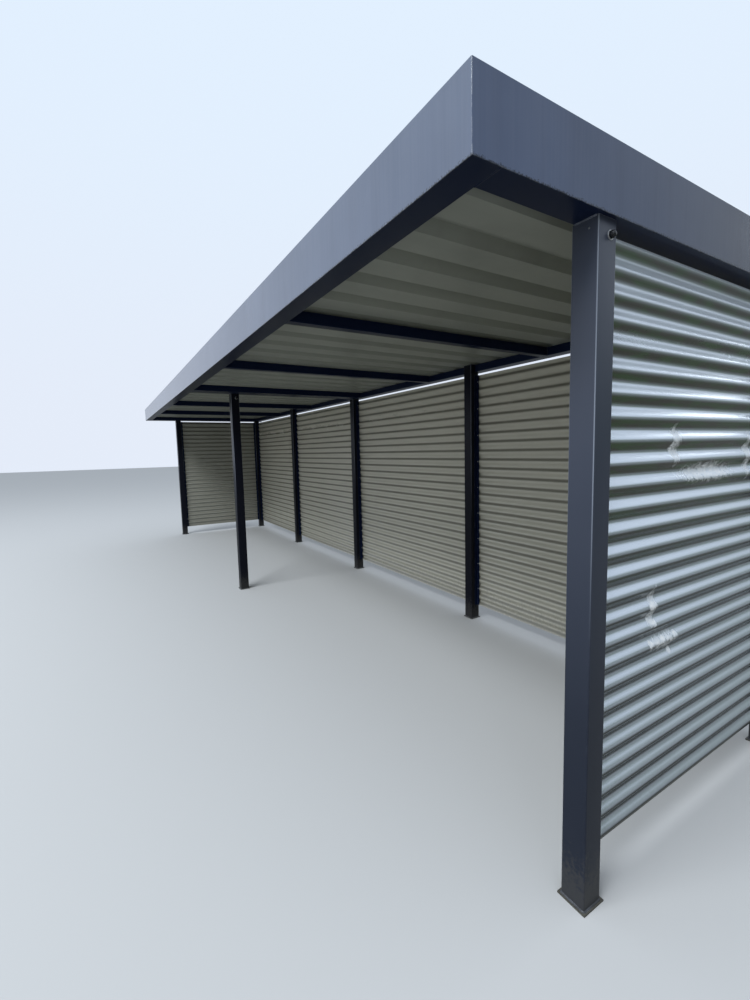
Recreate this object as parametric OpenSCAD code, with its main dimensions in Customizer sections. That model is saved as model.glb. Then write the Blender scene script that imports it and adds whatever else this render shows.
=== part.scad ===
// Open-fronted bicycle shelter with a flat roof: square steel posts, a flush frame of
// rectangular tube, trapezoidal roof sheets behind a folded fascia, and walls of sine-wave
// corrugated sheet hung between the posts. +X is the near end, -Y the open front, +Z up.

/* [Overall] */
// Length over the outer faces of the end posts
shelter_l = 8640; // [4000:10:12000]
// Depth from the front face of the front posts to the back face of the back posts
post_depth = 1590; // [1000:10:3000]
// Reach of the roof beyond the front posts, to the face of the fascia
front_reach = 500; // [200:5:1000]
// Clear height from the ground to the underside of the roof frame
clear_h = 2187; // [1800:1:3000]

/* [Posts] */
// Side of the square post
post_w = 88; // [60:1:120]
// Wall of the post tube
post_wall = 3; // [2:0.5:6]
// Outer corner radius of the post tube
post_r = 6; // [3:0.5:12]
// Distance that the foot plate stands out round the post
foot_margin = 8; // [3:1:40]
// Thickness of the foot plate
foot_t = 6; // [4:1:20]
// Thickness of the cap welded into the top of each post
cap_t = 4; // [3:1:8]

/* [Roof frame] */
// Distance that the frame stands out beyond the posts at the ends
frame_reach = 18; // [0:1:40]
// Distance that the frame stands out behind the back posts
back_reach = 58; // [20:1:100]
// Width of the beams round the edge and of the pair of beams in the middle
edge_beam_w = 100; // [60:1:120]
// Width of the cross beams
cross_beam_w = 60; // [40:1:100]
// Distance from the middle of the shelter to the joint of the middle pair of beams
joint_x = 80; // [0:5:150]
// Height of every roof tube
beam_h = 60; // [40:1:120]
// Wall of the roof tubes
beam_wall = 3; // [2:0.5:6]
// Outer corner radius of the roof tubes
beam_r = 5; // [2:0.5:8]

/* [Roof sheets] */
// Spacing of the ribs
rib_pitch = 245; // [150:5:333]
// Height of a rib above the pan
rib_h = 40; // [20:1:60]
// Width of a rib at its foot
rib_foot = 108; // [70:1:130]
// Width of the flat top of a rib
rib_top = 48; // [20:1:60]
// Distance from the far end of the roof to the middle of the first rib
rib_start = 186; // [80:1:240]
// Thickness of the roof sheet
roof_t = 1; // [0.6:0.1:2]
// Overhang of the sheets behind the back beam
back_drip = 25; // [0:1:120]

/* [Fascia] */
// Height of the fascia's face
fascia_h = 203; // [150:1:400]
// Height of the fascia's lower edge above the underside of the frame, less than 0 below it
fascia_lift = -5; // [-40:1:40]
// Thickness of the fascia
fascia_t = 3; // [1:0.5:5]
// Width of the fold along the fascia's top
fascia_fold = 40; // [20:1:80]
// Depth of the lip turned down from that fold
fascia_lip = 15; // [5:1:40]

/* [Walls] */
// Wave pitch of the wall sheets
wave_pitch = 76; // [40:1:130]
// Depth of the wave from crest to trough
wave_depth = 18; // [10:0.5:40]
// Thickness of the wall sheet
wall_t = 1; // [0.6:0.1:2]
// Least height of the walls' lower edge above the ground
wall_foot = 120; // [20:5:400]
// Waves covered by the upper sheet
upper_waves = 15; // [3:1:30]
// Straight steps that draw one wave
wave_steps = 12; // [8:2:24]
// Gap between the end walls and the frame above them
end_wall_gap = 25; // [0:1:200]
// Gap between the back wall and the frame above it
back_wall_gap = 30; // [0:1:200]
// Wave steps from the upper edge of an end wall down to its first crest
end_wall_steps = 1; // [1:1:5]
// Wave steps from the upper edge of the back wall down to its first crest
back_wall_steps = 3; // [1:1:5]
// Distance from the posts' outer faces to the middle of the sheet in the end walls
end_wall_inset = 44; // [20:1:60]
// Distance from the posts' outer faces to the middle of the sheet in the back wall
back_wall_inset = 12; // [10:1:60]
// Leg of the angle that carries the sheets on the posts
angle_leg = 28; // [15:1:40]
// Thickness of that angle
angle_t = 3; // [2:0.5:5]
// Gap between the end of a wall sheet and the post
sheet_gap = 2; // [1:0.5:10]
// Clearance between a sheet and the piece that it bears on
seat_gap = 0.3; // [0.1:0.1:0.8]

/* [Hidden] */
$fn = 32;
cut = 1;
least_r = 0.5;
back_bays = 4;
half_beams = 2;
middle_beam = half_beams + 1;
roof_sheets = 9;
end_x = shelter_l / 2;
total_depth = front_reach + post_depth + back_reach + back_drip;
front_y = -total_depth / 2;
back_y = total_depth / 2;
front_post_y = front_y + front_reach + post_w / 2;
back_face_y = back_y - back_drip - back_reach;
back_post_y = back_face_y - post_w / 2;
post_span = shelter_l - post_w;
bay_l = post_span / back_bays;
roof_z = clear_h + beam_h;

frame_end_x = end_x + frame_reach;
frame_front_y = front_y + fascia_t;
frame_back_y = back_y - back_drip;
cross_front_y = frame_front_y + edge_beam_w;
cross_back_y = frame_back_y - edge_beam_w;
notch_y = cross_back_y - back_post_y;
inner_x = frame_end_x - edge_beam_w;
near_gap = (inner_x - joint_x - edge_beam_w - half_beams * cross_beam_w) / (half_beams + 1);
far_gap = (inner_x + joint_x - edge_beam_w - half_beams * cross_beam_w) / (half_beams + 1);

fascia_z = clear_h + fascia_lift;
fascia_end_x = frame_end_x + fascia_t;

rib_run = (rib_foot - rib_top) / 2;
rib_count = 1 + floor((2 * frame_end_x - rib_start - rib_foot / 2) / rib_pitch);
roof_l = back_y - frame_front_y - seat_gap;
roof_edge_x = frame_end_x - seat_gap;

wave_step = wave_pitch / wave_steps;
wave_half = wave_depth / 2;
end_crest_z = clear_h - end_wall_gap - end_wall_steps * wave_step;
back_crest_z = clear_h - back_wall_gap - back_wall_steps * wave_step;
half_waves = floor(2 * (min(end_crest_z, back_crest_z) - wall_foot) / wave_pitch);
foot_step = half_waves * wave_steps / 2;
lap_short = 0.55;
lap_step = floor((upper_waves - lap_short) * wave_steps);
end_wall_len = back_post_y - front_post_y - post_w - 2 * sheet_gap;
end_wall_mid_y = (front_post_y + back_post_y) / 2;
back_wall_len = bay_l - post_w - 2 * sheet_gap;
angle_back = wave_half + wall_t + seat_gap + angle_t;

// Places along the length, counted from the near end
function back_post_x(i) = end_x - post_w / 2 - bay_l * (i - 1);
function bay_x(i) = back_post_x(i) - bay_l / 2;

// Cross beams 1 and 2 share out the near part of the roof, 4 and 5 the far part
function cross_x(i) = i < middle_beam
    ? joint_x + edge_beam_w - cross_beam_w / 2 + (middle_beam - i) * (near_gap + cross_beam_w)
    : joint_x - edge_beam_w + cross_beam_w / 2 - (i - middle_beam) * (far_gap + cross_beam_w);

// Place of a rib, and the first rib of a roof sheet, both counted from the far end
function rib_x(i) = -frame_end_x + rib_start + rib_pitch * i;
function first_rib(n) = ceil(rib_count * (n - 1) / roof_sheets);

// One face of a wave: the offset from the sheet's middle at step k below the first crest
function wave(k) = wave_half * cos(360 * k / wave_steps);

// Outline of a sheet between two steps below the top crest, its outer face towards +X
function wave_outline(first, last, out) = concat(
    [for (k = [first:last]) [out + wave(k), -k * wave_step]],
    [for (k = [last:-1:first]) [out + wave(k) - wall_t, -k * wave_step]]);

// Rounded rectangle made of squares and true arcs
module rounded_outline(w, h, r) {
    square([w - 2 * r, h], center = true);
    square([w, h - 2 * r], center = true);
    for (x = [-1, 1], y = [-1, 1])
        translate([x * (w / 2 - r), y * (h / 2 - r)])
            circle(r = r);
}

// Cross-section of a rectangular hollow section
module tube_outline(w, h, wall, r) {
    difference() {
        rounded_outline(w, h, r);
        rounded_outline(w - 2 * wall, h - 2 * wall, max(r - wall, least_r));
    }
}

// Post standing on its foot plate, with a cap under the frame; a tall one is notched
// behind for the back beam and goes on up to the roof sheets
module post(x, y, tall) {
    color("#3c424e")
    translate([x, y, 0]) {
        difference() {
            translate([0, 0, foot_t])
                linear_extrude((tall ? roof_z : clear_h) - foot_t)
                    tube_outline(post_w, post_w, post_wall, post_r);
            translate([-post_w, notch_y, clear_h])
                cube([2 * post_w, 2 * post_w, beam_h + cut]);
        }
        translate([0, 0, clear_h - cap_t])
            linear_extrude(cap_t)
                rounded_outline(post_w, post_w, post_r);
    }
}

module foot_plate(x, y) {
    plate_w = post_w + 2 * foot_margin;
    translate([x, y, foot_t / 2])
        cube([plate_w, plate_w, foot_t], center = true);
}

module foot_plates() {
    color("#4a4a48") {
        for (x = [-1, 0, 1])
            foot_plate(x * post_span / 2, front_post_y);
        for (i = [1:back_bays + 1])
            foot_plate(back_post_x(i), back_post_y);
    }
}

// Tube along the front or the back, closed at both ends, its underside at the clear height
module long_beam(y, w) {
    beam_l = 2 * frame_end_x;
    color("#2e333d")
    translate([-frame_end_x, y, clear_h + beam_h / 2])
        rotate([90, 0, 90]) {
            linear_extrude(beam_l)
                tube_outline(w, beam_h, beam_wall, beam_r);
            for (z = [0, beam_l - beam_wall])
                translate([0, 0, z])
                    linear_extrude(beam_wall)
                        rounded_outline(w, beam_h, beam_r);
        }
}

module short_beam(x, w) {
    color("#2e333d")
    translate([x, cross_back_y, clear_h + beam_h / 2])
        rotate([90, 0, 0])
            linear_extrude(cross_back_y - cross_front_y)
                tube_outline(w, beam_h, beam_wall, beam_r);
}

// Two wide beams side by side, where the near and the far half of the roof frame meet
module middle_beams() {
    for (side = [-1, 1])
        short_beam(joint_x + side * (edge_beam_w + seat_gap) / 2, edge_beam_w);
}

// Lower surface of the roof sheet round one rib, raised by the sheets that it laps over
function rib_points(x, lift) =
    let (slide = lift * rib_run / rib_h)
    [[x - rib_foot / 2 - slide, 0], [x - rib_top / 2, rib_h + lift],
     [x + rib_top / 2, rib_h + lift], [x + rib_foot / 2 + slide, 0]];

// Points of a lower surface and its upper surface, one sheet thickness above
function sheet_points(under) = concat(under,
    [for (i = [len(under) - 1:-1:0]) [under[i][0], under[i][1] + roof_t]]);

// Trapezoidal roof sheet, counted from the far end: its first rib tucks under the sheet
// before it, and it laps over the first rib of the sheet after it
module roof_sheet(n) {
    own = [for (i = [first_rib(n):first_rib(n + 1) - 1]) each rib_points(rib_x(i), 0)];
    lap = rib_points(rib_x(first_rib(n + 1)), roof_t);
    start = n == 1 ? [[-roof_edge_x, 0], own[0]]
                   : [(own[0] + own[1]) / 2];
    finish = n == roof_sheets ? [[roof_edge_x, 0]]
                              : [lap[0], lap[1], lap[2], lap[2] + [rib_run, -rib_h] / 2];
    color("#8d9088")
    translate([0, back_y, roof_z])
        rotate([90, 0, 0])
            linear_extrude(roof_l)
                polygon(sheet_points(concat(start, [for (i = [1:len(own) - 1]) own[i]], finish)));
}

// Folded section of the fascia: a face, a fold along the top and a lip turned down
module fascia_outline() {
    square([fascia_t, fascia_h]);
    translate([0, fascia_h - fascia_t])
        square([fascia_fold, fascia_t]);
    translate([fascia_fold - fascia_t, fascia_h - fascia_lip])
        square([fascia_t, fascia_lip]);
}

// Half of the corner block at the near front corner, on the front side of its mitre or
// on the end side
module mitre_block(front) {
    reach = 2 * fascia_fold;
    translate([fascia_end_x, front_y, fascia_z - cut])
        linear_extrude(fascia_h + 2 * cut)
            polygon([[-reach, reach], [reach, -reach], front ? [-reach, -reach] : [reach, reach]]);
}

module front_fascia() {
    color("#6c7485")
    difference() {
        translate([-fascia_end_x, front_y, fascia_z])
            rotate([90, 0, 90])
                linear_extrude(2 * fascia_end_x)
                    fascia_outline();
        mitre_block(false);
        mirror([1, 0, 0])
            mitre_block(false);
    }
}

module end_fascia(side) {
    color("#5b6271")
    mirror([side > 0 ? 0 : 1, 0, 0])
        difference() {
            translate([fascia_end_x, back_y, fascia_z])
                mirror([1, 0, 0])
                    rotate([90, 0, 0])
                        linear_extrude(total_depth)
                            fascia_outline();
            mitre_block(true);
        }
}

// Upper or lower sheet of a wall, run along its corrugations, its first crest at the origin;
// the lower one starts a whole wave behind the upper one, one thickness nearer the inside
module wave_sheet(len, upper, top_steps) {
    translate([0, len / 2, 0])
        rotate([90, 0, 0])
            linear_extrude(len)
                polygon(upper ? wave_outline(-top_steps, lap_step, wall_t)
                              : wave_outline(lap_step - wave_steps, foot_step, 0));
}

module end_wall(side, upper) {
    color("#a9aeae")
    mirror([side > 0 ? 0 : 1, 0, 0])
        translate([end_x - end_wall_inset, end_wall_mid_y, end_crest_z])
            wave_sheet(end_wall_len, upper, end_wall_steps);
}

module back_wall(i, upper) {
    color("#8f8d86")
    translate([bay_x(i), back_face_y - back_wall_inset, back_crest_z])
        rotate([0, 0, 90])
            wave_sheet(back_wall_len, upper, back_wall_steps);
}

// Angle with one leg on the post's side and one behind the sheet, which lies at +Y; as high
// as the sheet, whose first crest is at the origin
module wall_angle(top_steps) {
    translate([0, 0, -foot_step * wave_step])
        linear_extrude((foot_step + top_steps) * wave_step) {
            square([angle_leg, angle_t]);
            translate([0, angle_t - angle_leg])
                square([angle_t, angle_leg]);
        }
}

module end_wall_angles() {
    color("#353a44")
    for (side = [0, 1], front = [0, 1])
        mirror([side, 0, 0])
            translate([end_x - end_wall_inset - angle_back, end_wall_mid_y, end_crest_z])
                mirror([0, front, 0])
                    translate([0, end_wall_len / 2 + sheet_gap, 0])
                        rotate([0, 0, -90])
                            wall_angle(end_wall_steps);
}

module back_wall_angles() {
    color("#353a44")
    for (i = [1:back_bays], side = [0, 1])
        translate([bay_x(i), back_face_y - back_wall_inset - angle_back, back_crest_z])
            mirror([side, 0, 0])
                translate([-back_wall_len / 2 - sheet_gap, 0, 0])
                    wall_angle(back_wall_steps);
}

post(post_span / 2, front_post_y, false);  // front_post_near
post(0, front_post_y, false);  // front_post_middle
post(-post_span / 2, front_post_y, false);  // front_post_far
post(back_post_x(1), back_post_y, false);  // back_post_1
post(back_post_x(2), back_post_y, true);  // back_post_2
post(back_post_x(3), back_post_y, false);  // back_post_3
post(back_post_x(4), back_post_y, true);  // back_post_4
post(back_post_x(5), back_post_y, false);  // back_post_5
foot_plates();
long_beam(frame_front_y + edge_beam_w / 2, edge_beam_w);  // front_beam
long_beam(frame_back_y - edge_beam_w / 2, edge_beam_w);  // back_beam
short_beam(frame_end_x - edge_beam_w / 2, edge_beam_w);  // near_end_beam
short_beam(edge_beam_w / 2 - frame_end_x, edge_beam_w);  // far_end_beam
short_beam(cross_x(1), cross_beam_w);  // cross_beam_1
short_beam(cross_x(2), cross_beam_w);  // cross_beam_2
middle_beams();  // cross_beam_3
short_beam(cross_x(4), cross_beam_w);  // cross_beam_4
short_beam(cross_x(5), cross_beam_w);  // cross_beam_5
roof_sheet(1);  // roof_sheet_1
roof_sheet(2);  // roof_sheet_2
roof_sheet(3);  // roof_sheet_3
roof_sheet(4);  // roof_sheet_4
roof_sheet(5);  // roof_sheet_5
roof_sheet(6);  // roof_sheet_6
roof_sheet(7);  // roof_sheet_7
roof_sheet(8);  // roof_sheet_8
roof_sheet(9);  // roof_sheet_9
front_fascia();
end_fascia(1);  // near_end_fascia
end_fascia(-1);  // far_end_fascia
end_wall(1, true);  // near_wall_upper
end_wall(1, false);  // near_wall_lower
end_wall(-1, true);  // far_wall_upper
end_wall(-1, false);  // far_wall_lower
back_wall(1, true);  // back_wall_upper_1
back_wall(2, true);  // back_wall_upper_2
back_wall(3, true);  // back_wall_upper_3
back_wall(4, true);  // back_wall_upper_4
back_wall(1, false);  // back_wall_lower_1
back_wall(2, false);  // back_wall_lower_2
back_wall(3, false);  // back_wall_lower_3
back_wall(4, false);  // back_wall_lower_4
end_wall_angles();
back_wall_angles();
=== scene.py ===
import math

import bmesh
import bpy
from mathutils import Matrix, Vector


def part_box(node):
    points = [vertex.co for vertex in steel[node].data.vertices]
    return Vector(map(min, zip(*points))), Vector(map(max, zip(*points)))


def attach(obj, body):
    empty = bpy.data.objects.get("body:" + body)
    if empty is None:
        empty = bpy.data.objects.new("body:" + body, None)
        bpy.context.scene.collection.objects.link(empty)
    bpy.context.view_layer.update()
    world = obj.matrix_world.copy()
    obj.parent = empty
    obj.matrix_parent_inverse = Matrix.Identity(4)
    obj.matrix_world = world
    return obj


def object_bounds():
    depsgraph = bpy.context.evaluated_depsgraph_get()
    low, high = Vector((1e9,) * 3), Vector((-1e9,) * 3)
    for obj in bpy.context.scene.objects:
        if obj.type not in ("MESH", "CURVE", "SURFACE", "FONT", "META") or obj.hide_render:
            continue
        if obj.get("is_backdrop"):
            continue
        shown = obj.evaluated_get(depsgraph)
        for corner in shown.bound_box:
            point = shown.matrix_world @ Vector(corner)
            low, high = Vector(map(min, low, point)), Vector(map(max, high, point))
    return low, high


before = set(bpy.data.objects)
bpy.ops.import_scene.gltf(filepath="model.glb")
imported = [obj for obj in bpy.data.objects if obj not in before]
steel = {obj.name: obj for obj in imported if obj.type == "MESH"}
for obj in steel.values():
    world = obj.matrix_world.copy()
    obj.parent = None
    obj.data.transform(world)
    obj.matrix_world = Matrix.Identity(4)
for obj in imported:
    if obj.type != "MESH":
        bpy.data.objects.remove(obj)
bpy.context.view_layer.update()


# Studio
# The shelter stands on a level pale floor under a soft sky that lights its near end dim and
# green from low down. A large lamp hangs before the open front, an upright strip beside the
# near corner and a small lamp behind it. The camera looks along the front through a wide lens.

def wire(tree, kind, inputs=None, **settings):
    """Adds one node: its settings, then its inputs, each a value or another node's output."""
    made = tree.nodes.new(kind)
    for name, value in settings.items():
        setattr(made, name, value)
    for key, value in (inputs or {}).items():
        if isinstance(value, bpy.types.NodeSocket):
            tree.links.new(value, made.inputs[key])
        else:
            made.inputs[key].default_value = value
    return made


def calc(tree, operation, first, second=None, **settings):
    """Arithmetic on one or two numbers."""
    inputs = {0: first} if second is None else {0: first, 1: second}
    return wire(tree, "ShaderNodeMath", inputs, operation=operation, **settings).outputs[0]


def vector_calc(tree, operation, first, second=None):
    """Arithmetic on one or two vectors, which gives a number for a product or a length."""
    inputs = {0: first} if second is None else {0: first, 1: second}
    made = wire(tree, "ShaderNodeVectorMath", inputs, operation=operation)
    return made.outputs["Value" if operation in ("DOT_PRODUCT", "LENGTH") else "Vector"]


def axes(tree, vector):
    """The X, Y and Z of a vector."""
    return wire(tree, "ShaderNodeSeparateXYZ", {0: vector}).outputs


def ramp(tree, value, start, end, low=0.0, high=1.0, smooth=False):
    """Maps a value between start and end to one between low and high, and holds it there."""
    inputs = {"Value": value, "From Min": start, "From Max": end, "To Min": low, "To Max": high}
    kind = "SMOOTHSTEP" if smooth else "LINEAR"
    return wire(tree, "ShaderNodeMapRange", inputs, interpolation_type=kind).outputs[0]


def mix(tree, share, low, high, **settings):
    """Blends from one colour to another by a share of 0 to 1."""
    inputs = {0: share, "A": low, "B": high}
    return wire(tree, "ShaderNodeMix", inputs, data_type="RGBA", **settings).outputs["Result"]


def new_material(name):
    """An empty material with its output node."""
    material = bpy.data.materials.new(name)
    material.use_nodes = True
    material.node_tree.nodes.clear()
    return material, material.node_tree, wire(material.node_tree, "ShaderNodeOutputMaterial")


floor_paint, tree, output = new_material("studio_floor")
path = wire(tree, "ShaderNodeLightPath")
pale = wire(tree, "ShaderNodeBsdfDiffuse", {"Color": (0.50, 0.495, 0.485, 1)})
dim = wire(tree, "ShaderNodeBsdfDiffuse", {"Color": (0.24, 0.235, 0.22, 1)})
both = wire(tree, "ShaderNodeMixShader",
            {0: path.outputs["Is Camera Ray"], 1: dim.outputs[0], 2: pale.outputs[0]})
tree.links.new(both.outputs[0], output.inputs["Surface"])

FLOOR_REACH = 60
mesh = bpy.data.meshes.new("studio_floor")
mesh.from_pydata([(x * FLOOR_REACH, y * FLOOR_REACH, 0) for x, y in [(-1, -1), (1, -1), (1, 1), (-1, 1)]],
                 [], [(0, 1, 2, 3)])
mesh.materials.append(floor_paint)
floor = bpy.data.objects.new("studio_floor", mesh)
bpy.context.scene.collection.objects.link(floor)
floor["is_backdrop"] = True

sky = bpy.data.worlds.new("studio_sky")
sky.use_nodes = True
tree = sky.node_tree
tree.nodes.clear()
direction = wire(tree, "ShaderNodeTexCoord").outputs["Generated"]
height = axes(tree, direction)["Z"]
near_tint = mix(tree, ramp(tree, height, 0.06, 0.34, smooth=True),
                (0.13, 0.165, 0.12, 1), (0.76, 0.84, 0.95, 1))
far_tint = mix(tree, ramp(tree, height, 0.0, 0.7, smooth=True),
               (0.78, 0.84, 0.95, 1), (0.76, 0.87, 1.0, 1))
to_near_end = vector_calc(tree, "DOT_PRODUCT", direction, (0.7, 0.7, 0.0))
side = ramp(tree, to_near_end, 0.45, -0.25, smooth=True)
plain_side = calc(tree, "MAXIMUM", side, wire(tree, "ShaderNodeLightPath").outputs["Is Camera Ray"])
tint = mix(tree, plain_side, near_tint, far_tint)
glow = wire(tree, "ShaderNodeBackground", {"Color": tint, "Strength": 1.0})
tree.links.new(glow.outputs[0], wire(tree, "ShaderNodeOutputWorld").inputs["Surface"])
bpy.context.scene.world = sky


def soft_lamp(name, place, target, width, height, power, color):
    """A large rectangular lamp at a place, turned to a target."""
    data = bpy.data.lights.new(name, "AREA")
    data.shape, data.size, data.size_y = "RECTANGLE", width, height
    data.energy, data.color = power, color
    lamp = bpy.data.objects.new(name, data)
    lamp.location = place
    lamp.rotation_euler = (Vector(target) - Vector(place)).to_track_quat("-Z", "Y").to_euler()
    bpy.context.scene.collection.objects.link(lamp)


soft_lamp("front_lamp", place=(4.0, -11.0, 13.0), target=(0, 0, 2.0),
          width=10.0, height=5.0, power=2400, color=(0.88, 0.94, 1.0))
soft_lamp("corner_lamp", place=(11.1, -5.0, 1.8), target=(4.3, -0.55, 1.8),
          width=0.5, height=7.0, power=45, color=(0.95, 0.98, 1.0))
soft_lamp("wall_lamp", place=(5.0, 12.5, 6.4), target=(4.3, 0.4, 1.5),
          width=1.8, height=1.6, power=45, color=(0.90, 0.96, 1.0))

camera_data = bpy.data.cameras.new("camera")
camera_data.lens, camera_data.sensor_width = 16.2703, 36.0
camera_data.shift_x, camera_data.shift_y = -0.00408, -0.00605
camera = bpy.data.objects.new("camera", camera_data)
camera.location = (5.1352, -1.8319, 1.5359)
camera.rotation_euler = [math.radians(a) for a in (84.4651, 1.3564, 58.5213)]
bpy.context.scene.collection.objects.link(camera)
bpy.context.scene.camera = camera
bpy.context.scene.view_settings.view_transform = "Standard"


# Foot plates
# Each post ends in a square steel plate of 6 mm, welded on all round. The plates have
# the posts' coat, rubbed at the rim and grey with grit that the rain splashes up.

def noise(tree, place, scale, detail, rough=0.5, warp=0.0):
    """Cloudy noise round 0.5."""
    return wire(tree, "ShaderNodeTexNoise", {"Vector": place, "Scale": scale, "Detail": detail,
                                             "Roughness": rough, "Distortion": warp}).outputs["Fac"]


def bump(tree, height, strength, distance, **more):
    """A normal bent by a height, in metres."""
    inputs = {"Height": height, "Strength": strength, "Distance": distance, **more}
    return wire(tree, "ShaderNodeBump", inputs).outputs[0]


def coated(tree, output, color, rough, normal, **more):
    """Ends a material in one principled surface; more inputs are named with _ for a space."""
    inputs = {"Base Color": color, "Roughness": rough, "Normal": normal}
    inputs.update({name.replace("_", " "): value for name, value in more.items()})
    tree.links.new(wire(tree, "ShaderNodeBsdfPrincipled", inputs).outputs[0], output.inputs["Surface"])


def effect(name, takes, gives):
    """A shader node group, the sockets that it takes (each with its default) and those it gives."""
    group = bpy.data.node_groups.new(name, "ShaderNodeTree")
    for label, value in takes.items():
        kind = "NodeSocketVector" if isinstance(value, tuple) else "NodeSocketFloat"
        group.interface.new_socket(label, in_out="INPUT", socket_type=kind).default_value = value
    for label in gives:
        group.interface.new_socket(label, in_out="OUTPUT", socket_type="NodeSocketFloat")
    return group, group.nodes.new("NodeGroupInput").outputs, group.nodes.new("NodeGroupOutput").inputs


def placed(tree, group, **inputs):
    """Places an effect in a material, with inputs named as the group's, _ for a space."""
    inputs = {name.replace("_", " "): value for name, value in inputs.items()}
    return wire(tree, "ShaderNodeGroup", inputs, node_tree=group).outputs


# Grit and splashes: full at the foot, gone at Height, broken up into spots
splashes, takes, gives = effect("Splashed grit", {"Position": (0, 0, 0), "Height": 0.3, "Spot size": 0.02},
                                ["Mask"])
spots = noise(splashes, takes["Position"], calc(splashes, "DIVIDE", 1.0, takes["Spot size"]), 5.0, 0.65)
share = calc(splashes, "DIVIDE", axes(splashes, takes["Position"])["Z"], takes["Height"])
spotty = calc(splashes, "ADD", spots, ramp(splashes, share, 0.0, 1.0, 0.62, 0.0))
splashes.links.new(ramp(splashes, spotty, 0.68, 1.0, smooth=True), gives["Mask"])

# Rubbed edges: where the surface turns within Width, broken up by noise
rubbing, takes, gives = effect("Rubbed edges", {"Position": (0, 0, 0), "Width": 0.003, "Patch size": 0.05},
                               ["Mask"])
rounded = wire(rubbing, "ShaderNodeBevel", {"Radius": takes["Width"]}, samples=4).outputs[0]
flat = wire(rubbing, "ShaderNodeNewGeometry").outputs["True Normal"]
edge = ramp(rubbing, vector_calc(rubbing, "DOT_PRODUCT", rounded, flat), 0.995, 0.90)
patchy = noise(rubbing, takes["Position"], calc(rubbing, "DIVIDE", 1.0, takes["Patch size"]), 6.0, 0.7)
rubbed = calc(rubbing, "MULTIPLY", edge, ramp(rubbing, patchy, 0.45, 0.62))
rubbing.links.new(rubbed, gives["Mask"])

# Powder coat: the fine ripple of the sprayed and baked paint, and its slow change of tone
powder_coat, takes, gives = effect("Powder coat ripple", {"Position": (0, 0, 0), "Ripple size": 0.002,
                                                         "Cloud size": 0.4}, ["Height", "Clouds"])
fine = calc(powder_coat, "DIVIDE", 1.0, takes["Ripple size"])
slow = calc(powder_coat, "DIVIDE", 1.0, takes["Cloud size"])
powder_coat.links.new(noise(powder_coat, takes["Position"], fine, 2.0), gives["Height"])
powder_coat.links.new(noise(powder_coat, takes["Position"], slow, 4.0, 0.6), gives["Clouds"])

foot_steel, tree, output = new_material("foot_steel")
spot = wire(tree, "ShaderNodeTexCoord").outputs["Object"]
coat = placed(tree, powder_coat, Position=spot, Ripple_size=0.002, Cloud_size=0.08)
paint = mix(tree, coat["Clouds"], (0.016, 0.018, 0.023, 1), (0.030, 0.032, 0.037, 1))
rubbed = placed(tree, rubbing, Position=spot, Width=0.004, Patch_size=0.02)["Mask"]
bare = mix(tree, rubbed, paint, (0.12, 0.11, 0.10, 1))
grit = placed(tree, splashes, Position=spot, Height=0.02, Spot_size=0.006)["Mask"]
soiled = mix(tree, grit, bare, (0.075, 0.070, 0.055, 1))
coated(tree, output, soiled, 0.6, bump(tree, coat["Height"], 0.25, 0.0008))

# Folded and rolled steel shades smooth round its radii and breaks at its edges
soft_radii = bpy.data.node_groups.new("Smooth radii", "GeometryNodeTree")
soft_radii.interface.new_socket("Geometry", in_out="INPUT", socket_type="NodeSocketGeometry")
sharp_above = soft_radii.interface.new_socket("Sharp above", in_out="INPUT", socket_type="NodeSocketFloat")
sharp_above.default_value = 0.6
soft_radii.interface.new_socket("Geometry", in_out="OUTPUT", socket_type="NodeSocketGeometry")
takes = soft_radii.nodes.new("NodeGroupInput").outputs
gives = soft_radii.nodes.new("NodeGroupOutput").inputs
plain = wire(soft_radii, "GeometryNodeRemoveAttribute",
             {"Geometry": takes["Geometry"], "Name": "custom_normal"})
whole = wire(soft_radii, "GeometryNodeMergeByDistance", {"Geometry": plain.outputs[0], "Distance": 0.00005})
smooth = wire(soft_radii, "GeometryNodeSetShadeSmooth", {"Geometry": whole.outputs[0], "Shade Smooth": True},
              domain="FACE")
angle = wire(soft_radii, "GeometryNodeInputMeshEdgeAngle").outputs["Unsigned Angle"]
sharp = wire(soft_radii, "FunctionNodeCompare", {"A": angle, "B": takes["Sharp above"]},
             data_type="FLOAT", operation="GREATER_THAN")
creased = wire(soft_radii, "GeometryNodeSetShadeSmooth",
               {"Geometry": smooth.outputs[0], "Selection": sharp.outputs[0], "Shade Smooth": False},
               domain="EDGE")
soft_radii.links.new(creased.outputs[0], gives["Geometry"])


def finish_steel(node, material, crease=0.6):
    """Gives a CAD node its finish and shades its radii smooth."""
    piece = steel[node]
    piece.material_slots[0].material = material
    piece.modifiers.new("smooth_radii", "NODES").node_group = soft_radii
    piece.modifiers["smooth_radii"][soft_radii.interface.items_tree["Sharp above"].identifier] = crease
    return piece


finish_steel("foot_plates", foot_steel)


# Posts
# Three front posts and five back posts of square tube, 88 mm, powder coated in anthracite.
# They are welded to their foot plates and carry the roof frame. Their corners carry a painted
# highlight in the upper half, partly rubbed coat. The two at the near end are painted lighter
# towards the top as painted light; the others are painted darker as painted shade.

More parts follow.
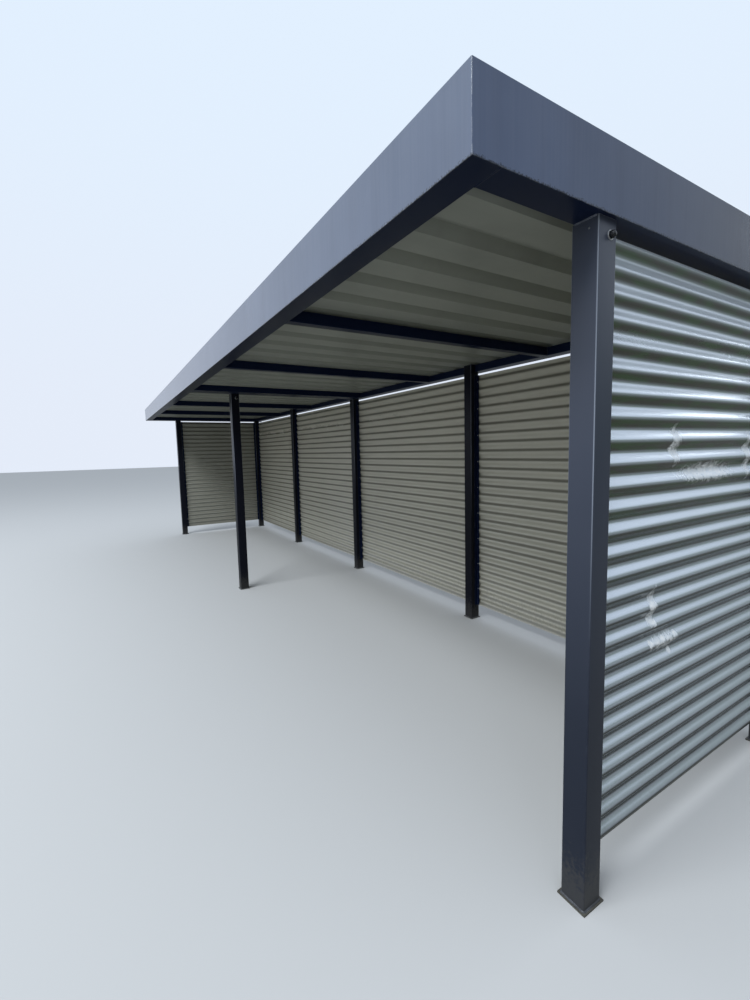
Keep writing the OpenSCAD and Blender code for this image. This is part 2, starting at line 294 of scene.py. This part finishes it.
def post_coat(name, foot_tones, painted_light_top_tones, gloss):
    """Powder coat of the posts: its tones at the foot and near the roof, and its shine."""
    material, tree, output = new_material(name)
    spot = wire(tree, "ShaderNodeTexCoord").outputs["Object"]
    height = axes(tree, spot)["Z"]
    coat = placed(tree, powder_coat, Position=spot, Ripple_size=0.0025, Cloud_size=0.5)
    # painted light: the coat is painted lighter from the foot up towards the roof
    paint = mix(tree, ramp(tree, height, 0.3, 2.1, smooth=True),
                mix(tree, coat["Clouds"], *foot_tones), mix(tree, coat["Clouds"], *painted_light_top_tones))
    # the rounded corners get a bright line in the upper half, a painted highlight that also stands for
    # rubbed coat; patchy rubbing on all edges adds to it
    facing = axes(tree, wire(tree, "ShaderNodeNewGeometry").outputs["Normal"])
    diagonal = calc(tree, "ABSOLUTE", calc(tree, "MULTIPLY", facing["X"], facing["Y"]))
    corner = ramp(tree, diagonal, 0.36, 0.49, high=0.75, smooth=True)
    painted_corner_highlight = calc(tree, "MULTIPLY", corner, ramp(tree, height, 0.85, 1.55, smooth=True))
    rubbed = placed(tree, rubbing, Position=spot, Width=0.003, Patch_size=0.06)["Mask"]
    worn = mix(tree, calc(tree, "MAXIMUM", rubbed, painted_corner_highlight), paint, (0.30, 0.33, 0.39, 1))
    grit = placed(tree, splashes, Position=spot, Height=0.28, Spot_size=0.014)["Mask"]
    soiled = mix(tree, calc(tree, "MULTIPLY", grit, 0.55), worn, (0.060, 0.058, 0.054, 1))
    coated(tree, output, soiled, ramp(tree, coat["Clouds"], 0, 1, 0.24, 0.38),
           bump(tree, coat["Height"], 0.12, 0.0006), Specular_IOR_Level=gloss)
    return material


post_paint = post_coat("post_paint", gloss=0.3,
                       foot_tones=[(0.011, 0.015, 0.026, 1), (0.019, 0.024, 0.038, 1)],
                       painted_light_top_tones=[(0.050, 0.059, 0.084, 1), (0.068, 0.078, 0.106, 1)])
# the posts away from the near end get a darker copy of the coat: painted shade
shade_painted_post_paint = post_coat("post_paint_shade_painted", gloss=0.12,
                                 foot_tones=[(0.005, 0.006, 0.011, 1), (0.007, 0.008, 0.014, 1)],
                                 painted_light_top_tones=[(0.006, 0.007, 0.013, 1), (0.009, 0.010, 0.017, 1)])

front_posts = ["front_post_near", "front_post_middle", "front_post_far"]
back_posts = ["back_post_1", "back_post_2", "back_post_3", "back_post_4", "back_post_5"]
for node in front_posts + back_posts:
    at_near_end = node in ("front_post_near", "back_post_1")
    finish_steel(node, post_paint if at_near_end else shade_painted_post_paint)


# Roof frame
# Rectangular tubes welded into one flat frame: a long one along the front and the back,
# one at each end and five across, the middle one a pair. Their coat is darker than the posts'.

beam_paint, tree, output = new_material("beam_paint")
spot = wire(tree, "ShaderNodeTexCoord").outputs["Object"]
coat = placed(tree, powder_coat, Position=spot, Ripple_size=0.0025, Cloud_size=0.35)
paint = mix(tree, coat["Clouds"], (0.005, 0.010, 0.032, 1), (0.009, 0.016, 0.046, 1))
rubbed = placed(tree, rubbing, Position=spot, Width=0.003, Patch_size=0.05)["Mask"]
worn = mix(tree, rubbed, paint, (0.10, 0.105, 0.12, 1))
coated(tree, output, worn, ramp(tree, coat["Clouds"], 0, 1, 0.24, 0.36),
       bump(tree, coat["Height"], 0.12, 0.0006), Specular_IOR_Level=0.15, Specular_Tint=(0.6, 0.75, 1.0, 1))

cross_beams = ["cross_beam_1", "cross_beam_2", "cross_beam_3", "cross_beam_4", "cross_beam_5"]
for node in ["front_beam", "back_beam", "near_end_beam", "far_end_beam"] + cross_beams:
    finish_steel(node, beam_paint)


# Roof sheets
# Nine trapezoidal steel sheets lie side by side with their ribs across the depth, each
# lapped over a rib of the next. The coat is a matt grey-beige, darker where water dries.

roof_coat, tree, output = new_material("roof_sheet")
spot = wire(tree, "ShaderNodeTexCoord").outputs["Object"]
drift = noise(tree, vector_calc(tree, "MULTIPLY", spot, (1.0, 0.12, 1.0)), 9.0, 5.0, 0.6)
blotch = noise(tree, spot, 2.2, 6.0, 0.65)
paint = mix(tree, drift, (0.29, 0.305, 0.265, 1), (0.385, 0.395, 0.340, 1))
stained = mix(tree, ramp(tree, blotch, 0.52, 0.75, high=0.45, smooth=True), paint, (0.26, 0.26, 0.225, 1))
coated(tree, output, stained, ramp(tree, blotch, 0, 1, 0.24, 0.42), bump(tree, drift, 0.15, 0.002))

SHEETS = 9
for n in range(1, SHEETS + 1):
    finish_steel(f"roof_sheet_{n}", roof_coat, crease=0.3)


# Fascia
# A blue-grey coated steel sheet, folded back along its top and down into a lip, runs along
# the front and both ends, mitred at the corners. Rain has streaked it and left specks of
# mould on its lower fold. The ends are duller than the front, and painted shade darkens
# them towards the back.

# Streaks: thin upright runs of dirt and of washed coat
streaks, takes, gives = effect("Rain streaks", {"Position": (0, 0, 0), "Run width": 0.004,
                                               "Run length": 0.25}, ["Runs"])
place = axes(streaks, takes["Position"])
stretched = wire(streaks, "ShaderNodeCombineXYZ",
                 {axis: calc(streaks, "DIVIDE", place[axis], takes[size])
                  for axis, size in [("X", "Run width"), ("Y", "Run width"), ("Z", "Run length")]})
streaks.links.new(noise(streaks, stretched.outputs[0], 0.5, 4.0, 0.55), gives["Runs"])

lower_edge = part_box("front_fascia")[0].z


def fascia_coat(name, front_painted_light, back_painted_shade, gloss):
    """The fascia's coat: the painted light and shade that its tone is multiplied by at the front and at the
    back, and its shine.
    """
    material, tree, output = new_material(name)
    spot = wire(tree, "ShaderNodeTexCoord").outputs["Object"]
    coat = placed(tree, powder_coat, Position=spot, Ripple_size=0.003, Cloud_size=0.45)
    fine = placed(tree, streaks, Position=spot, Run_width=0.004, Run_length=0.35)["Runs"]
    wide = placed(tree, streaks, Position=spot, Run_width=0.035, Run_length=0.5)["Runs"]
    paint = mix(tree, coat["Clouds"], (0.060, 0.079, 0.127, 1), (0.110, 0.134, 0.198, 1))
    washed = mix(tree, ramp(tree, fine, 0.40, 0.66, high=0.20), paint, (0.120, 0.138, 0.188, 1))
    dirty = mix(tree, ramp(tree, wide, 0.50, 0.76, high=0.22), washed, (0.045, 0.056, 0.090, 1))
    place = axes(tree, spot)
    # painted light and shade: the tone is multiplied by a tint that changes from the front to the back
    tint = mix(tree, ramp(tree, place["Y"], -0.85, 0.25), front_painted_light, back_painted_shade)
    shade_painted_tone = mix(tree, 1.0, dirty, tint, blend_type="MULTIPLY")
    # mould in specks along the lower fold
    lip = ramp(tree, place["Z"], lower_edge + 0.010, lower_edge + 0.001, high=0.30)
    specks = calc(tree, "ADD", lip, noise(tree, spot, 150.0, 3.0, 0.6))
    mould = calc(tree, "MULTIPLY", ramp(tree, specks, 0.64, 0.82, high=0.8, smooth=True),
                 calc(tree, "GREATER_THAN", lip, 0.02))
    mouldy = mix(tree, mould, shade_painted_tone, (0.012, 0.014, 0.020, 1))
    rubbed = placed(tree, rubbing, Position=spot, Width=0.003, Patch_size=0.08)["Mask"]
    worn = mix(tree, rubbed, mouldy, (0.30, 0.32, 0.37, 1))
    dents = bump(tree, coat["Clouds"], 0.25, 0.006)
    coated(tree, output, worn, ramp(tree, fine, 0, 1, 0.15, 0.25),
           bump(tree, coat["Height"], 0.12, 0.0006, Normal=dents), Specular_IOR_Level=gloss)
    return material


front_coat = fascia_coat("fascia_paint", front_painted_light=(1, 1, 1, 1), back_painted_shade=(1, 1, 1, 1), gloss=1.0)
end_coat_painted_shade = fascia_coat("fascia_paint_ends_shade_painted", front_painted_light=(1.04, 1.10, 1.20, 1),
                       back_painted_shade=(0.38, 0.40, 0.46, 1), gloss=0.22)
fascias = [("front_fascia", front_coat), ("near_end_fascia", end_coat_painted_shade), ("far_end_fascia", end_coat_painted_shade)]
for node, coat in fascias:
    fold = finish_steel(node, coat).modifiers.new("fold_radius", "BEVEL")
    fold.width, fold.segments, fold.limit_method, fold.harden_normals = 0.0014, 3, "ANGLE", True


# Wall sheets
# Sine-wave steel sheets stand between the posts, their waves level and the upper sheet lapped
# over the lower one. They are metallic silver outside, with a dark band of painted shade and
# painted reflection under the waves, partly algae and grime, and chalky marks on the near wall,
# and a warm grey inside, with painted shade, partly dust, on top of the waves.

# Chalky marks: wiped powder inside an upright patch round Middle
chalk, takes, gives = effect("Chalky marks", {"Position": (0, 0, 0), "Middle": (0, 0, 0),
                                             "Reach": (1, 0.1, 0.1), "Fill": 0.33}, ["Mask"])
scaled = vector_calc(chalk, "DIVIDE", vector_calc(chalk, "SUBTRACT", takes["Position"], takes["Middle"]),
                     takes["Reach"])
inside = ramp(chalk, vector_calc(chalk, "LENGTH", scaled), 1.0, 0.3, high=takes["Fill"], smooth=True)
scrawl = noise(chalk, takes["Position"], 42.0, 5.0, 0.62, 0.12)
wiped = ramp(chalk, calc(chalk, "ADD", scrawl, inside), 0.56, 1.02, smooth=True)
speckle = ramp(chalk, noise(chalk, takes["Position"], 150.0, 3.0), 0.38, 0.62, low=0.30)
soft = calc(chalk, "MULTIPLY", wiped, ramp(chalk, inside, 0.0, 0.14))
chalk.links.new(calc(chalk, "MULTIPLY", soft, speckle), gives["Mask"])


def wall_coat(name, outward, inner_tones, marks):
    """One wall's coat: outward is the way its outer face looks, marks are its chalky patches."""
    material, tree, output = new_material(name)
    spot = wire(tree, "ShaderNodeTexCoord").outputs["Object"]
    height = axes(tree, spot)["Z"]
    normal = wire(tree, "ShaderNodeNewGeometry").outputs["Normal"]
    tilt = axes(tree, normal)["Z"]
    outer = calc(tree, "GREATER_THAN", vector_calc(tree, "DOT_PRODUCT", normal, outward), 0.0)
    inner = calc(tree, "SUBTRACT", 1.0, outer)
    long_spot = vector_calc(tree, "MULTIPLY", spot, (1.0, 1.0, 6.0))
    drift = noise(tree, long_spot, 3.0, 6.0, 0.65)
    outside = mix(tree, drift, (0.62, 0.68, 0.75, 1), (0.70, 0.76, 0.83, 1))
    paint = mix(tree, outer, mix(tree, drift, *inner_tones), outside)

    # outside, a dark band of painted shade and painted reflection of dark greenery lies under each wave,
    # partly algae and grime: greenish under the upper waves, greyer under the lower ones, wider low down
    spread = ramp(tree, height, 2.1, 0.15, -0.26, 0.36)
    painted_shade_under_waves = ramp(tree, calc(tree, "SUBTRACT", tilt, spread), 0.30, -0.42, high=0.96, smooth=True)
    greener_patches = ramp(tree, noise(tree, long_spot, 7.0, 3.0), 0.42, 0.60)
    algae_and_painted_reflection = mix(tree, greener_patches, (0.060, 0.056, 0.032, 1), (0.048, 0.094, 0.022, 1))
    grime_and_painted_shade = mix(tree, ramp(tree, height, 1.5, 0.9), algae_and_painted_reflection, (0.030, 0.036, 0.026, 1))
    shaded = mix(tree, calc(tree, "MULTIPLY", painted_shade_under_waves, outer), paint, grime_and_painted_shade)

    # inside, the tops of the waves are painted darker, as painted shade and partly dust, and rain splashes
    # grit up both sides
    dust_and_painted_shade = calc(tree, "MULTIPLY", ramp(tree, tilt, 0.25, 0.58, high=0.8), inner)
    dusty_and_shaded = mix(tree, dust_and_painted_shade, shaded, (0.15, 0.14, 0.11, 1))
    grit = placed(tree, splashes, Position=spot, Height=0.45, Spot_size=0.02)["Mask"]
    soft_grit = calc(tree, "MULTIPLY", grit, ramp(tree, inner, 0, 1, 0.07, 0.35))
    color = mix(tree, soft_grit, dusty_and_shaded, (0.20, 0.19, 0.16, 1))

    metal = calc(tree, "MULTIPLY", outer, ramp(tree, height, 1.65, 2.15, 0.65, 0.30))
    rough = calc(tree, "ADD", ramp(tree, drift, 0, 1, 0.16, 0.22), ramp(tree, height, 1.45, 2.05, high=0.11))
    for middle, reach, fill in marks:
        mark = placed(tree, chalk, Position=spot, Middle=middle, Reach=reach, Fill=fill)["Mask"]
        seen = calc(tree, "MULTIPLY", mark, outer)
        color = mix(tree, seen, color, (0.95, 0.95, 0.94, 1))
        rough = wire(tree, "ShaderNodeMix", {"Factor": seen, "A": rough, "B": 0.85}).outputs["Result"]
        metal = calc(tree, "SUBTRACT", metal, seen, use_clamp=True)
    grain = noise(tree, spot, 260.0, 2.0)
    coated(tree, output, color, rough, bump(tree, grain, 0.02, 0.0006), Metallic=metal)
    return material


NEAR_WALL_X = 4.28
scribbles = [(-0.03, 1.53, 0.05, 0.11, 0.38), (0.22, 1.42, 0.32, 0.06, 0.36), (0.59, 1.48, 0.05, 0.14, 0.38),
             (-0.15, 0.94, 0.04, 0.12, 0.36), (-0.06, 0.79, 0.15, 0.05, 0.36)]
dabs = [(-0.155, 0.80, 0.022, 0.020, 0.45), (-0.07, 0.80, 0.022, 0.020, 0.45),
        (0.017, 0.80, 0.022, 0.020, 0.45), (-0.009, 0.741, 0.020, 0.020, 0.45),
        (-0.133, 0.877, 0.020, 0.022, 0.45), (-0.158, 0.947, 0.018, 0.022, 0.45)]
near_marks = [((NEAR_WALL_X, y, z), (1.0, wide, tall), fill) for y, z, wide, tall, fill in scribbles + dabs]
WARM_GREY = [(0.54, 0.515, 0.42, 1), (0.645, 0.62, 0.51, 1)]
# the far wall's inner face gets a darker grey than the others: painted shade
SHADE_PAINTED_GREY = [(0.30, 0.30, 0.255, 1), (0.38, 0.375, 0.325, 1)]
near_coat = wall_coat("near_wall_sheet", (1, 0, 0), WARM_GREY, near_marks)
far_coat = wall_coat("far_wall_sheet", (-1, 0, 0), SHADE_PAINTED_GREY, [])
back_coat = wall_coat("back_wall_sheet", (0, 1, 0), WARM_GREY, [])
for node in ["near_wall_upper", "near_wall_lower"]:
    finish_steel(node, near_coat, crease=1.0)
for node in ["far_wall_upper", "far_wall_lower"]:
    finish_steel(node, far_coat, crease=1.0)
BAYS = 4
for n in range(1, BAYS + 1):
    for node in [f"back_wall_upper_{n}", f"back_wall_lower_{n}"]:
        finish_steel(node, back_coat, crease=1.0)

for node in ["end_wall_angles", "back_wall_angles"]:
    finish_steel(node, beam_paint)


# Weld beads
# The posts are welded to their foot plates all round and to the roof frame at their tops,
# and the short tubes to the long ones: fillet and groove beads under the same coat.

FILLET = [(0, 0), (1.0, 0), (0.76, 0.44), (0.44, 0.76), (0, 1.0)]
GROOVE = [(-0.25, 0.08), (0.45, -0.20), (1.0, -0.16), (1.30, 0.04), (0, 1.1)]
RIPPLE_STEP, CORNER_STEPS = 0.0025, 4


def weld_bead(mesh, path, up, leg, section=FILLET, closed=False):
    """Adds a bead along a path of (point, outward direction), its section drawn in legs."""
    rings = []
    for i, (point, outward) in enumerate(path):
        # the leg swells a little from ripple to ripple, and slowly along the run
        size = leg * (0.93 + 0.07 * math.sin(2.3 * i) + 0.04 * math.sin(0.41 * i))
        rings.append([mesh.verts.new(point + outward * a * size + up * b * size) for a, b in section])
    for near, far in zip(rings, rings[1:] + rings[:1] if closed else rings[1:]):
        for j in range(len(section)):
            k = (j + 1) % len(section)
            mesh.faces.new([near[j], near[k], far[k], far[j]])
    if not closed:
        mesh.faces.new(rings[0][::-1])
        mesh.faces.new(rings[-1])


def line_path(start, end, outward):
    """Evenly spaced points of a straight bead."""
    start, end, outward = Vector(start), Vector(end), Vector(outward)
    count = max(2, round((end - start).length / RIPPLE_STEP))
    return [(start.lerp(end, i / count), outward) for i in range(count + 1)]


def round_path(low, high, z, radius):
    """Points round the outline of a post with rounded corners, at a height."""
    path = []
    for corner in range(4):
        right, back = corner in (1, 2), corner in (2, 3)
        middle = Vector((high.x - radius if right else low.x + radius,
                         high.y - radius if back else low.y + radius, z))
        for i in range(CORNER_STEPS + 1):
            turn = math.radians(180 + 90 * corner + 90 / CORNER_STEPS * i)
            outward = Vector((math.cos(turn), math.sin(turn), 0))
            path.append((middle + outward * radius, outward))
        length = (high.y - low.y if corner in (1, 3) else high.x - low.x) - 2 * radius
        along = Vector((-outward.y, outward.x, 0))
        count = round(length / RIPPLE_STEP)
        path += [(path[-1][0] + along * length * i / count, outward) for i in range(1, count)]
    return path


def keep_piece(name, mesh, material, crease=0.6):
    """Turns a bmesh into a piece of the shelter with its finish."""
    bmesh.ops.recalc_face_normals(mesh, faces=mesh.faces)
    data = bpy.data.meshes.new(name)
    mesh.to_mesh(data)
    mesh.free()
    data.materials.append(material)
    data.polygons.foreach_set("use_smooth", [True] * len(data.polygons))
    data.set_sharp_from_angle(angle=crease)
    piece = bpy.data.objects.new(name, data)
    bpy.context.scene.collection.objects.link(piece)
    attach(piece, "root")


UP, DOWN = Vector((0, 0, 1)), Vector((0, 0, -1))
POST_RADIUS, TUBE_RADIUS = 0.006, 0.005
FOOT_LEG, TOP_LEG = 0.0045, 0.004
# the tube on top of each post; the other two back posts run on past the frame's underside
tube_over = {"front_post_near": "near_end_beam", "back_post_1": "near_end_beam",
             "front_post_middle": "cross_beam_3", "back_post_3": "cross_beam_3",
             "front_post_far": "far_end_beam", "back_post_5": "far_end_beam"}
plate_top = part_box("foot_plates")[1].z
frame_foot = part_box("front_beam")[0].z
beads = bmesh.new()
for node in front_posts + back_posts:
    low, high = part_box(node)
    weld_bead(beads, round_path(low, high, plate_top, POST_RADIUS), UP, FOOT_LEG, closed=True)
    if node in tube_over:
        over_low, over_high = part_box(tube_over[node])
        first, last = max(low.x, over_low.x) + POST_RADIUS, min(high.x, over_high.x) - POST_RADIUS
        for y, outward in [(low.y, (0, -1, 0)), (high.y, (0, 1, 0))]:
            across = line_path((first, y, frame_foot), (last, y, frame_foot), outward)
            weld_bead(beads, across, DOWN, TOP_LEG)
keep_piece("post_welds", beads, post_paint, crease=1.2)

GROOVE_IN, SAME_FACE = 0.003, 0.01
row_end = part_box("front_beam")[1].x
beads = bmesh.new()
single_tubes = ["near_end_beam", "far_end_beam"] + [node for node in cross_beams if node != "cross_beam_3"]
short_tubes = [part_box(node) for node in single_tubes]
low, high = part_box("cross_beam_3")
middle = (low.x + high.x) / 2
short_tubes += [(low, Vector((middle, high.y, high.z))), (Vector((middle, low.y, low.z)), high)]
for low, high in short_tubes:
    for y, inward in [(low.y, 1), (high.y, -1)]:
        across = line_path((low.x + GROOVE_IN, y, low.z), (high.x - GROOVE_IN, y, low.z), (0, -inward, 0))
        weld_bead(beads, across, UP, TUBE_RADIUS, section=GROOVE)
        for x, outward in [(low.x, (-1, 0, 0)), (high.x, (1, 0, 0))]:
            # no bead on the outer faces of the end tubes, or between the middle pair
            if abs(x) < row_end - SAME_FACE and abs(x - middle) > SAME_FACE:
                upright = line_path((x, y, low.z + TUBE_RADIUS), (x, y, high.z - TUBE_RADIUS), outward)
                weld_bead(beads, upright, Vector((0, inward, 0)), TOP_LEG)
keep_piece("frame_welds", beads, beam_paint, crease=1.2)


# Bolts and rivets of the posts
# A domed nut with a wide washer closes a bolt through the top of each front post, just
# under the frame. A small rivet sits on the same post's front face.

def turned(mesh, place, axis, profile, sides=24, turn=0.0):
    """Adds a turned shape, closed at both ends; its profile is (radius, height) from base to tip."""
    to_axis = Vector(axis).to_track_quat("Z", "Y").to_matrix()
    rings = []
    for radius, height in profile:
        angles = [turn + 2 * math.pi * i / sides for i in range(sides)] if radius else [0]
        points = [Vector((radius * math.cos(a), radius * math.sin(a), height)) for a in angles]
        rings.append([mesh.verts.new(Vector(place) + to_axis @ point) for point in points])
    for near, far in zip(rings, rings[1:]):
        for i in range(sides):
            j = (i + 1) % sides
            corners = [near[i % len(near)], near[j % len(near)], far[j % len(far)], far[i % len(far)]]
            mesh.faces.new(list(dict.fromkeys(corners)))
    for ring in (rings[0], rings[-1]):
        if len(ring) > 1:
            mesh.faces.new(ring)


def bolt_metal(name, dark, light, tarnish, metallic, rough):
    """Plated or blackened steel of small fasteners, clouded and tarnished in spots."""
    material, tree, output = new_material(name)
    spot = wire(tree, "ShaderNodeTexCoord").outputs["Object"]
    coat = placed(tree, powder_coat, Position=spot, Ripple_size=0.0012, Cloud_size=0.012)
    plate = mix(tree, coat["Clouds"], dark, light)
    rubbed = placed(tree, rubbing, Position=spot, Width=0.0008, Patch_size=0.006)["Mask"]
    worn = mix(tree, rubbed, plate, tarnish)
    coated(tree, output, worn, ramp(tree, coat["Clouds"], 0, 1, rough, rough + 0.2),
           bump(tree, coat["Height"], 0.2, 0.0003), Metallic=metallic)
    return material


zinc = bolt_metal("fastener_zinc", (0.50, 0.51, 0.52, 1), (0.68, 0.69, 0.70, 1),
                  tarnish=(0.40, 0.36, 0.30, 1), metallic=0.85, rough=0.25)
dull_steel = bolt_metal("fastener_grey", (0.20, 0.21, 0.23, 1), (0.33, 0.34, 0.36, 1),
                        tarnish=(0.14, 0.125, 0.10, 1), metallic=0.85, rough=0.3)
black_steel = bolt_metal("fastener_black", (0.006, 0.007, 0.010, 1), (0.016, 0.017, 0.021, 1),
                         tarnish=(0.05, 0.045, 0.04, 1), metallic=0.2, rough=0.12)

WASHER_R, WASHER_T = 0.0142, 0.0022
WASHER = [(WASHER_R, 0), (WASHER_R, WASHER_T * 0.7), (WASHER_R * 0.95, WASHER_T), (0.006, WASHER_T)]
HEXAGON = [(0.0124, 0), (0.0124, 0.0062), (0.0112, 0.0074), (0.006, 0.0074)]
DOME = [(0.0104, 0.005), (0.0104, 0.0085), (0.0098, 0.0112), (0.0077, 0.0136), (0.0043, 0.0151), (0, 0.0156)]
RIVET = [(0.0034, 0), (0.0032, 0.0008), (0.0022, 0.0015), (0, 0.0017)]
BOLT_DOWN, BOLT_BACK, RIVET_DOWN, RIVET_IN = 0.047, 0.0566, 0.028, 0.030
washers, nuts, post_rivets = bmesh.new(), bmesh.new(), bmesh.new()
for node, side in [("front_post_near", 1), ("front_post_middle", 1), ("front_post_far", -1)]:
    low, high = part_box(node)
    face, outward = high.x if side > 0 else low.x, (side, 0, 0)
    bolt_y, bolt_z = low.y + BOLT_BACK, frame_foot - BOLT_DOWN
    turned(washers, (face, bolt_y, bolt_z), outward, WASHER, sides=32)
    turned(nuts, (face + side * WASHER_T, bolt_y, bolt_z), outward, HEXAGON, sides=6, turn=0.3)
    turned(nuts, (face + side * WASHER_T, bolt_y, bolt_z), outward, DOME)
    rivet_spot = (face - side * RIVET_IN, low.y, frame_foot - RIVET_DOWN)
    turned(post_rivets, rivet_spot, (0, -1, 0), RIVET, sides=16)
keep_piece("bolt_washers", washers, zinc)
keep_piece("bolt_nuts", nuts, black_steel)
keep_piece("post_rivets", post_rivets, dull_steel)


# Roof screws
# Hexagon-headed screws with sealing washers hold the roof sheets in every pan to the front
# and back beams. Shorter ones stitch the lapped ribs together and show their tips below.

RIB_PITCH, RIB_START, RIB_COUNT, EDGE_PAN = 0.245, 0.186, 35, 0.118
SHEET_T, INTO_LAP = 0.001, 0.0018
FIRST_STITCH, STITCH_PITCH, STITCHES = -0.90, 0.45, 5
SEAL = [(0.0080, 0), (0.0082, 0.0012), (0.0076, 0.0022), (0.0045, 0.0024)]
HEAD = [(0.0054, 0), (0.0054, 0.0040), (0.0047, 0.0048)]
TIP = [(0.0024, 0), (0.0024, 0.007), (0.0018, 0.009), (0, 0.012)]
SEAL_T = SEAL[-1][1]
first_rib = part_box("front_beam")[0].x + RIB_START
front_line = (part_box("front_beam")[0].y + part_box("front_beam")[1].y) / 2
back_line = (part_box("back_beam")[0].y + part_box("back_beam")[1].y) / 2
pan_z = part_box("roof_sheet_1")[0].z + SHEET_T
rib_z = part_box("roof_sheet_1")[1].z
screws, seals = bmesh.new(), bmesh.new()
# every head is turned its own way; the pan before the first rib is a narrow one
for i in range(-1, RIB_COUNT):
    x = first_rib + RIB_PITCH * (i + 0.5) if i >= 0 else first_rib - EDGE_PAN
    for y in (front_line, back_line):
        turned(seals, (x, y, pan_z), UP, SEAL, sides=20)
        turned(screws, (x, y, pan_z + SEAL_T), UP, HEAD, sides=6, turn=0.7 * i + y)
lapped_ribs = [math.ceil(RIB_COUNT * n / SHEETS) for n in range(1, SHEETS)]
for i in lapped_ribs:
    x = first_rib + RIB_PITCH * i
    for j in range(STITCHES):
        y = FIRST_STITCH + STITCH_PITCH * j
        turned(seals, (x, y, rib_z), UP, SEAL, sides=20)
        turned(screws, (x, y, rib_z + SEAL_T), UP, HEAD, sides=6, turn=1.1 * j + i)
        turned(screws, (x, y, rib_z - INTO_LAP), DOWN, TIP, sides=10)
keep_piece("roof_screws", screws, roof_coat)
keep_piece("roof_screw_seals", seals, black_steel)


# Wall rivets
# Blind rivets in every third trough hold the wall sheets to the angles on the posts. Their
# low heads show outside, the rolled tails on the inner side of the angles.

WAVE_PITCH, WAVE_RISE, UPPER_TROUGHS = 0.076, 0.009, 14
ANGLE_IN, FROM_SHEET_END, TROUGHS_APART = 0.0133, 0.016, 3
OUTER_HEAD = [(0.0050, 0), (0.0048, 0.0008), (0.0032, 0.0015), (0.0014, 0.0016), (0.0011, 0.0010)]
INNER_TAIL = [(0.0036, 0), (0.0042, 0.0012), (0.0038, 0.0030), (0.0020, 0.0040), (0, 0.0042)]
rivets = bmesh.new()
walls = [("near_wall", "", Vector((1, 0, 0))), ("far_wall", "", Vector((-1, 0, 0)))]
walls += [("back_wall", f"_{n}", Vector((0, 1, 0))) for n in range(1, BAYS + 1)]
for wall, number, outward in walls:
    low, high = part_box(f"{wall}_upper{number}")
    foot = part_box(f"{wall}_lower{number}")[0].z
    # the first crest lies a twelfth of a wave under an end wall's top and a quarter under a back wall's
    crest_z = high.z - (3 if number else 1) * WAVE_PITCH / 12
    along = Vector((1, 0, 0)) if number else Vector((0, 1, 0))
    middle_plane = max(low.dot(outward), high.dot(outward)) - WAVE_RISE - SHEET_T
    for j in range(0, int((crest_z - foot) / WAVE_PITCH), TROUGHS_APART):
        trough = middle_plane - WAVE_RISE + (SHEET_T if j < UPPER_TROUGHS else 0)
        for end, way in [(low.dot(along), 1), (high.dot(along), -1)]:
            spot = along * (end + way * FROM_SHEET_END) + UP * (crest_z - (j + 0.5) * WAVE_PITCH)
            turned(rivets, spot + outward * trough, outward, OUTER_HEAD, sides=14)
            turned(rivets, spot + outward * (middle_plane - ANGLE_IN), -outward, INNER_TAIL, sides=12)
keep_piece("wall_rivets", rivets, zinc)


# Sizes
# The box of the finished model, without the studio floor.

low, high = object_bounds()
